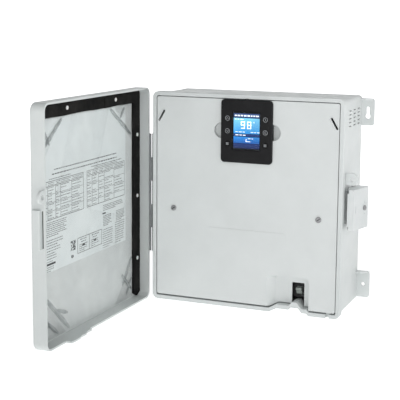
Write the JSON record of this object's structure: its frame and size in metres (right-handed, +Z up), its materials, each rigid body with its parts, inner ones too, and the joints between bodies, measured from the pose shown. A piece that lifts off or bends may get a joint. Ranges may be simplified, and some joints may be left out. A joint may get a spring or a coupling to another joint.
{
  "type": "pool control enclosure",
  "caption": "Wall-mounted plastic control enclosure with a hinged door, keypad display, breaker window, rocker latch and mounting ears.",
  "frame": {"origin": "centre of the enclosure's flat back face, where it meets the wall", "axes": "+Y into the wall, +X to the right seen from the front, +Z up"},
  "size_m": [0.3917, 0.4487, 0.3552],
  "materials": {
    "shell_plastic": "fine textured light grey moulded plastic",
    "panel_plastic": "smooth satin light grey plastic",
    "door_plastic": "fine textured light grey moulded plastic",
    "gasket_foam": "black closed-cell foam",
    "rivet_plastic": "white nylon",
    "card_print": "printed card",
    "clear_film": "clear film",
    "display_black": "black satin",
    "screen_window": "clear window",
    "screen": "backlit screen module",
    "key_black": "black soft-touch",
    "hinge_grey": "grey coated steel",
    "steel": "bright zinc plated",
    "latch_plastic": "light grey moulded plastic",
    "board_green": "solder mask",
    "relay_black": "black cases",
    "terminal_green": "green terminal strip",
    "brass": "plain brass",
    "core_steel": "varnished laminations",
    "coil_tape": "yellow winding tape",
    "capacitor_sleeve": "dark blue sleeve",
    "breaker_black": "black moulded case",
    "toggle_grey": "grey toggle",
    "ribbon_grey": "grey ribbon"
  },
  "bodies": {
    "enclosure": {"enclosure_shell": "shell_plastic", "inner_panel": "panel_plastic", "display_housing": "display_black", "display_window": "screen_window", "display_screen": "screen", "display_board": "board_green", "key_switches": "relay_black", "screen_cradle": "relay_black", "hinge_box_leaf": "hinge_grey", "hinge_pin": "steel", "hinge_box_screws": "steel", "latch_base": "latch_plastic", "latch_pin": "steel", "latch_detent": "steel", "main_board": "board_green", "board_standoffs": "brass", "board_screws": "steel", "relays": "relay_black", "terminal_blocks": "terminal_green", "terminal_screws": "steel", "transformer_core": "core_steel", "transformer_coil": "coil_tape", "processor": "relay_black", "capacitors": "capacitor_sleeve", "fuse_holders": "relay_black", "breaker_body": "breaker_black", "breaker_rail": "steel", "ribbon_cable": "ribbon_grey", "ribbon_plugs": "relay_black", "ground_bar": "brass", "ground_bar_feet": "relay_black", "ground_bar_screws": "steel"},
    "door": {"door_shell": "door_plastic", "door_gasket": "gasket_foam", "gasket_rivets": "rivet_plastic", "wiring_card": "card_print", "card_pouch": "clear_film", "pouch_corners": "clear_film", "hinge_door_leaf": "hinge_grey", "hinge_door_screws": "steel"},
    "latch": {"latch_lever": "latch_plastic", "latch_stud": "steel"},
    "key_1_cap": {"key_1": "key_black"},
    "key_2_cap": {"key_2": "key_black"},
    "key_3_cap": {"key_3": "key_black"},
    "key_4_cap": {"key_4": "key_black"},
    "key_5_cap": {"key_5": "key_black"},
    "key_6_cap": {"key_6": "key_black"},
    "screw_left": {"panel_screw_left": "steel"},
    "screw_right": {"panel_screw_right": "steel"},
    "breaker_switch": {"breaker_toggle": "toggle_grey"}
  },
  "joints": [
    {"name": "door_hinge", "type": "hinge", "parent": "enclosure", "child": "door", "pos_m": [-0.168, -0.1005, 0], "axis": [0, 0, 1], "range_deg": [-88, 91]},
    {"name": "latch_pivot", "type": "hinge", "parent": "enclosure", "child": "latch", "pos_m": [0.1657, -0.0775, 0], "axis": [0, 0, 1], "range_deg": [-3.6, 8]},
    {"name": "key_1_press", "type": "slide", "parent": "enclosure", "child": "key_1_cap", "axis": [0, 1, 0], "range_m": [0, 0.0006], "stiffness_N_per_m": 300},
    {"name": "key_2_press", "type": "slide", "parent": "enclosure", "child": "key_2_cap", "axis": [0, 1, 0], "range_m": [0, 0.0006], "stiffness_N_per_m": 300},
    {"name": "key_3_press", "type": "slide", "parent": "enclosure", "child": "key_3_cap", "axis": [0, 1, 0], "range_m": [0, 0.0006], "stiffness_N_per_m": 300},
    {"name": "key_4_press", "type": "slide", "parent": "enclosure", "child": "key_4_cap", "axis": [0, 1, 0], "range_m": [0, 0.0006], "stiffness_N_per_m": 300},
    {"name": "key_5_press", "type": "slide", "parent": "enclosure", "child": "key_5_cap", "axis": [0, 1, 0], "range_m": [0, 0.0006], "stiffness_N_per_m": 300},
    {"name": "key_6_press", "type": "slide", "parent": "enclosure", "child": "key_6_cap", "axis": [0, 1, 0], "range_m": [0, 0.0006], "stiffness_N_per_m": 300},
    {"name": "screw_left_turn", "type": "hinge", "parent": "enclosure", "child": "screw_left", "pos_m": [-0.1226, -0.1215, -0.017], "axis": [0, -1, 0], "range_deg": [0, 90]},
    {"name": "screw_right_turn", "type": "hinge", "parent": "enclosure", "child": "screw_right", "pos_m": [0.1226, -0.1215, -0.017], "axis": [0, -1, 0], "range_deg": [0, 90]},
    {"name": "breaker_flip", "type": "hinge", "parent": "enclosure", "child": "breaker_switch", "pos_m": [0.0888, -0.097, -0.1379], "axis": [1, 0, 0], "range_deg": [0, 36]}
  ]
}
